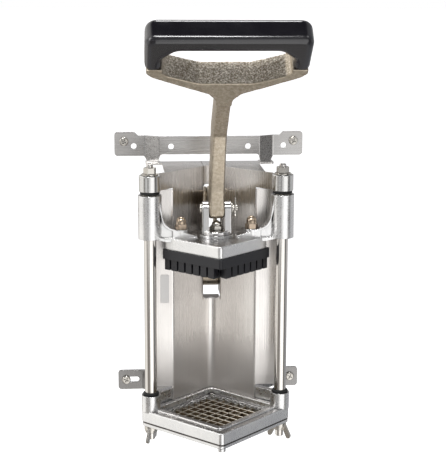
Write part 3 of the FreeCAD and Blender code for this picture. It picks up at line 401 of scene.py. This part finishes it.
MATS = {
    "cast_aluminium": cast_aluminium(),
    "sleeve_aluminium": polished("sleeve_aluminium_look", (0.72, 0.715, 0.70, 1), 0.20, (30.0, 30.0, 1500.0)),
    "panel_stainless": brushed("panel_stainless_look", (0.76, 0.735, 0.71, 1), 0.245, (1500.0, 1500.0, 7.0), strength=0.06, tint=0.035, stain=0.10, slot_shade_marks=True),
    "strap_stainless": brushed("strap_stainless_look", (0.50, 0.49, 0.48, 1), 0.26, (7.0, 1500.0, 1500.0), strength=0.16, tint=0.14, stain=0.22),
    "rod_chrome": polished("rod_chrome_look", (0.74, 0.715, 0.68, 1), 0.085, (20.0, 20.0, 1900.0)),
    "polished_steel": polished("polished_steel_look", (0.79, 0.78, 0.77, 1), 0.15, (400.0, 400.0, 30.0)),
    "hardware_steel": polished("hardware_steel_look", (0.60, 0.575, 0.53, 1), 0.20, (300.0, 300.0, 500.0)),
    "blade_steel": blades(),
    "label_blank": brushed("label_blank_look", (0.62, 0.61, 0.60, 1), 0.38, (900.0, 900.0, 9.0), strength=0.08, tint=0.05, stain=0.05),
    "black_rubber": plastic("black_rubber_look", (0.012, 0.012, 0.012, 1), 0.62, 900.0, 0.05, spec=0.35, scuff=0.4),
    "bushing_plastic": plastic("bushing_plastic_look", (0.62, 0.58, 0.50, 1), 0.45, 600.0, 0.03, scuff=0.2),
    "pusher_plastic": plastic("pusher_plastic_look", (0.0065, 0.0065, 0.0085, 1), 0.34, 700.0, 0.06, spec=0.45, scuff=0.7),
    "cast_bronze": bronze(),
    "grip_vinyl": plastic("grip_vinyl_look", (0.0036, 0.0032, 0.0052, 1), 0.19, 55.0, 0.05, spec=0.5, coat=0.6, coat_rough=0.09, scuff=0.16),
}
SLOT_OF = {s["node"]: s["material_slot"] for s in frame["record"]["subparts"]}
# cap nuts tinted brown: painted reflection of the bronze lever in their domes; the base and the blade frame show a
# dirty seam where they meet
CAPS = polished("cap_nut_look", (0.50, 0.405, 0.31, 1), 0.22, (300.0, 300.0, 500.0))
SEAM = cast_aluminium("cast_aluminium_seam_look", grain=0.16, seam=(15.5 - 181.5) / 1000.0)
# the small brackets at the base are duller rolled sheet than the strap above
BRACKET = brushed("bracket_sheet_look", (0.27, 0.265, 0.26, 1), 0.26, (1500.0, 1500.0, 9.0), strength=0.10, tint=0.06, stain=0.30)
for name, obj in NODES.items():
    for sl in obj.material_slots:
        sl.material = (BRACKET if name.startswith("lower_bracket")
                       else CAPS if name == "cap_nuts"
                       else SEAM if name in ("base_casting", "blade_frame") else MATS[SLOT_OF[name]])


# ------------------------------------------------------------- cast surfaces
def new_mesh(name, verts, faces, mat, smooth=True):
    me = bpy.data.meshes.new(name)
    me.from_pydata([tuple(v) for v in verts], [], faces)
    me.materials.append(mat)
    me.update()
    if smooth:
        me.shade_smooth()
    ob = bpy.data.objects.new(name, me)
    COLL.objects.link(ob)
    return ob


def apply_mods(ob):
    dg = bpy.context.evaluated_depsgraph_get()
    me = bpy.data.meshes.new_from_object(ob.evaluated_get(dg))
    old = ob.data
    ob.modifiers.clear()
    ob.data = me
    bpy.data.meshes.remove(old)


def cast_copy(node, body, voxel, relax, grain, slot):
    """A sand-cast version of a CAD node: same shape, edges rounded by the mould,
    skin pebbled by the sand."""
    src = NODES[node]
    me = src.data.copy()
    ob = bpy.data.objects.new(node + "_cast", me)
    COLL.objects.link(ob)
    bm = bmesh.new()
    bm.from_mesh(me)
    bmesh.ops.remove_doubles(bm, verts=bm.verts, dist=1e-6)
    bm.to_mesh(me)
    bm.free()
    md = ob.modifiers.new("grid", "REMESH")
    md.mode = "VOXEL"
    md.voxel_size = voxel
    md.use_smooth_shade = True
    sm = ob.modifiers.new("relax", "SMOOTH")
    sm.factor = 0.5
    sm.iterations = relax
    apply_mods(ob)
    me = ob.data
    co = np.empty(len(me.vertices) * 3, np.float32)
    no = np.empty(len(me.vertices) * 3, np.float32)
    me.vertices.foreach_get("co", co)
    me.vertices.foreach_get("normal", no)
    co = co.reshape(-1, 3)
    no = no.reshape(-1, 3)
    h = np.empty(len(co), np.float32)
    for i, c in enumerate(co):
        p = Vector(c) * 420.0
        q = Vector(c) * 90.0
        h[i] = 0.65 * noise.noise(p) + 0.5 * noise.noise(q)
    co = co + no * (h * grain - abs(grain) * 0.35)[:, None]
    me.vertices.foreach_set("co", co.astype(np.float32).ravel())
    me.update()
    me.shade_smooth()
    me.materials.clear()
    me.materials.append(MATS[slot])
    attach(ob, body)
    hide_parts(node)
    return ob


cast_copy("lever_arm", "lever", 0.0009, 3, 0.00016, "cast_bronze")
cast_copy("link", "link", 0.0009, 2, 0.00013, "cast_bronze")
# the dipped vinyl sleeve runs into soft round corners
cast_copy("lever_grip", "lever", 0.0010, 14, 0.00004, "grip_vinyl")

# ----------------------------------------------------------------- studio
lo, hi = Vector(CAD_BOX[0]), Vector(CAD_BOX[1])
FLOOR_Z = lo.z - 0.30


def stage_plane(name, w, h, loc, rot, mat, camera=True):
    me = bpy.data.meshes.new(name)
    me.from_pydata([(-w / 2, -h / 2, 0), (w / 2, -h / 2, 0), (w / 2, h / 2, 0), (-w / 2, h / 2, 0)], [], [(0, 1, 2, 3)])
    me.materials.append(mat)
    ob = bpy.data.objects.new(name, me)
    ob.location = loc
    ob.rotation_euler = rot
    COLL.objects.link(ob)
    ob.visible_camera = camera
    return ob


floor_mat = bpy.data.materials.new("floor_pale")
floor_mat.use_nodes = True
fb = floor_mat.node_tree.nodes["Principled BSDF"]
fb.inputs["Base Color"].default_value = (0.92, 0.92, 0.92, 1)
fb.inputs["Roughness"].default_value = 0.9
fb.inputs["Specular IOR Level"].default_value = 0.1
fb.inputs["Emission Color"].default_value = (1, 1, 1, 1)
fb.inputs["Emission Strength"].default_value = 0.8
floor = stage_plane("floor", 60.0, 60.0, (0, 0, FLOOR_Z), (0, 0, 0), floor_mat)
floor.visible_glossy = False

# The studio round the object, by direction: azimuth 0 is towards the operator and
# grows to the right, elevation is up. Each entry is a soft-edged patch of the walls:
# (azimuth from, to, softness, elevation from, to, softness, colour).
ROOM = (0.50, 0.50, 0.51, 1)
PATCHES = [
    (-170, -34, 14, -60, 4, 8, (0.50, 0.47, 0.44, 1)),        # left, low
    (-170, -66, 12, 4, 48, 8, (1.30, 1.28, 1.25, 1)),         # left window
    (-138, -70, 8, -38, -2, 7, (1.10, 1.08, 1.05, 1)),        # sunlit bench, left
    (-64, -28, 5, -60, -13.5, 2, (0.30, 0.28, 0.26, 1)),      # shade beside it
    (-52, -26, 4, -13, 4, 2, (0.95, 0.95, 0.95, 1)),          # light door leaf
    (56, 150, 10, -60, 45, 10, (0.36, 0.365, 0.38, 1)),       # right wall
    (-66, 60, 8, -8, 50, 3, (0.36, 0.36, 0.365, 1)),          # room behind the operator
    (6, 46, 4, -12, 6, 3, (1.30, 1.30, 1.30, 1)),             # white panel, right of the operator
    (-14, 52, 4, -80, -10.5, 3, (1.62, 1.61, 1.60, 1)),       # pale table in front
    (50, 74, 3, -60, 12, 4, (0.17, 0.165, 0.16, 1)),          # dark edge of the panel
    (80, 150, 7, -14.5, 10, 2, (0.60, 0.60, 0.61, 1)),        # right wall, lit band
    (-16, 3.2, 2.5, -38, -17.4, 1.5, (1.00, 0.98, 0.95, 1)),  # shaded end of the table
    (-70, -52, 5, -12, 6, 4, (0.20, 0.19, 0.18, 1)),          # door
    (-23, -16, 2, -70, 20, 4, (0.12, 0.11, 0.10, 1)),         # stand
    (-200, 200, 5, 52, 95, 10, (0.06, 0.06, 0.065, 1)),       # ceiling
    (-200, 200, 5, -95, -74, 6, (0.45, 0.43, 0.40, 1)),       # under the object
]
world = bpy.data.worlds.new("studio")
SCENE.world = world
world.use_nodes = True
wt = world.node_tree
bg = wt.nodes["Background"]


def wmath(op, a, b=None):
    n = wt.nodes.new("ShaderNodeMath")
    n.operation = op
    for i, v in enumerate((a, b)):
        if v is None:
            continue
        if isinstance(v, (int, float)):
            n.inputs[i].default_value = v
        else:
            wt.links.new(v, n.inputs[i])
    return n.outputs[0]


def wstep(v, lo, hi, a=0.0, b=1.0):
    n = wt.nodes.new("ShaderNodeMapRange")
    n.interpolation_type = "SMOOTHSTEP"
    for key, val in (("From Min", lo), ("From Max", hi), ("To Min", a), ("To Max", b)):
        n.inputs[key].default_value = val
    wt.links.new(v, n.inputs["Value"])
    return n.outputs["Result"]


wtc = wt.nodes.new("ShaderNodeTexCoord")
wsep = wt.nodes.new("ShaderNodeSeparateXYZ")
wt.links.new(wtc.outputs["Generated"], wsep.inputs[0])
AZ = wmath("MULTIPLY", wmath("ARCTAN2", wsep.outputs[0], wmath("MULTIPLY", wsep.outputs[1], -1.0)), 180 / math.pi)
EL = wmath("MULTIPLY", wmath("ARCSINE", wsep.outputs[2]), 180 / math.pi)
wcol = None
for a0, a1, sa, e0, e1, se, c in PATCHES:
    mask = wmath("MULTIPLY", wmath("MULTIPLY", wstep(AZ, a0 - sa, a0 + sa), wstep(AZ, a1 - sa, a1 + sa, 1.0, 0.0)),
                 wmath("MULTIPLY", wstep(EL, e0 - se, e0 + se), wstep(EL, e1 - se, e1 + se, 1.0, 0.0)))
    mx = wt.nodes.new("ShaderNodeMix")
    mx.data_type = "RGBA"
    wt.links.new(mask, mx.inputs[0])
    if wcol is None:
        mx.inputs[6].default_value = ROOM
    else:
        wt.links.new(wcol, mx.inputs[6])
    mx.inputs[7].default_value = c
    wcol = mx.outputs[2]
# the backdrop itself is white
path = wt.nodes.new("ShaderNodeLightPath")
mx = wt.nodes.new("ShaderNodeMix")
mx.data_type = "RGBA"
wt.links.new(path.outputs["Is Camera Ray"], mx.inputs[0])
wt.links.new(wcol, mx.inputs[6])
mx.inputs[7].default_value = (1, 1, 1, 1)
wt.links.new(mx.outputs[2], bg.inputs["Color"])
bg.inputs["Strength"].default_value = 1.0


def area(name, loc, target, w, h, power, color=(1, 1, 1)):
    li = bpy.data.lights.new(name, "AREA")
    li.shape = "RECTANGLE"
    li.size = w
    li.size_y = h
    li.energy = power
    li.color = color
    ob = bpy.data.objects.new(name, li)
    ob.location = loc
    d = Vector(target) - Vector(loc)
    ob.rotation_euler = d.to_track_quat("-Z", "Y").to_euler()
    COLL.objects.link(ob)
    return ob


CENTRE = Vector((0, -0.08, 0.02))
area("key", (-0.25, -1.15, 1.25), CENTRE + Vector((0, -0.1, 0.2)), 0.9, 0.22, 15.0)
area("left", (-1.3, -0.7, 0.5), CENTRE, 0.5, 0.8, 4.0)
area("top", (0.06, 0.30, 1.55), CENTRE + Vector((0, -0.12, 0.25)), 0.5, 0.4, 7.0)
area("spark", (1.15, -0.95, 1.20), CENTRE + Vector((0.08, -0.1, 0.25)), 0.12, 0.30, 1.6)

# ----------------------------------------------------------------- camera
CAM_POS = Vector((-0.1185, -1.5359, 0.3513))
YAW, PITCH, ROLL = math.radians(5.08), math.radians(11.44), math.radians(0.29)
d = Vector((math.sin(YAW) * math.cos(PITCH), math.cos(YAW) * math.cos(PITCH), -math.sin(PITCH)))
r = d.cross(Vector((0, 0, 1))).normalized()
u = r.cross(d)
r2 = math.cos(ROLL) * r + math.sin(ROLL) * u
u2 = -math.sin(ROLL) * r + math.cos(ROLL) * u
cam_data = bpy.data.cameras.new("camera")
cam_data.sensor_width = 36.0
cam_data.lens = 1262.94 * 36.0 / 460.0
cam = bpy.data.objects.new("camera", cam_data)
COLL.objects.link(cam)
m = Matrix((r2, u2, -d)).transposed().to_4x4()
m.translation = CAM_POS
cam.matrix_world = m
SCENE.camera = cam
